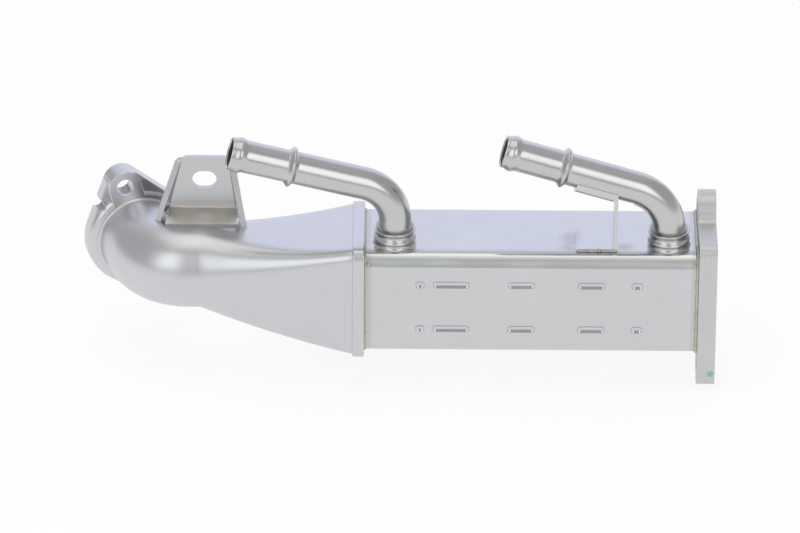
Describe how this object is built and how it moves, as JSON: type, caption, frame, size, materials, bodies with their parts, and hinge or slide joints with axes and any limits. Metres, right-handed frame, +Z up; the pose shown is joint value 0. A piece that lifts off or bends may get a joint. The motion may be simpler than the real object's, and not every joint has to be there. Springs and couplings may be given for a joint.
{
  "type": "egr cooler",
  "caption": "Exhaust gas recirculation cooler: square sheet casing around flat gas tubes, a cast diffuser with an elbow and port flange, an end flange and bent coolant pipes.",
  "frame": {"origin": "on the end flange's mating face, midway between its two bolt holes", "axes": "+X out of the end flange along the casing, +Y to the back where the port flange faces, +Z up towards the coolant pipes"},
  "size_m": [0.3162, 0.0771, 0.1333],
  "materials": {
    "sheet": "satin",
    "casting": "satin",
    "flange": "brushed",
    "pipe": "polished",
    "bracket": "satin",
    "core": "satin"
  },
  "bodies": {
    "root": {"casing": "sheet", "diffuser_elbow": "casting", "end_flange": "flange", "tube_plate_left": "core", "tube_plate_right": "core", "coolant_pipe_left": "pipe", "coolant_pipe_right": "pipe", "pipe_ferrule_left": "pipe", "pipe_ferrule_right": "pipe", "pipe_support": "sheet", "mounting_bracket": "bracket", "gas_tube_1": "core", "gas_tube_2": "core", "gas_tube_3": "core", "gas_tube_4": "core", "gas_tube_5": "core", "gas_tube_6": "core", "gas_tube_7": "core", "turbulator_1": "core", "turbulator_2": "core", "turbulator_3": "core", "turbulator_4": "core", "turbulator_5": "core", "turbulator_6": "core", "turbulator_7": "core"}
  },
  "joints": []
}
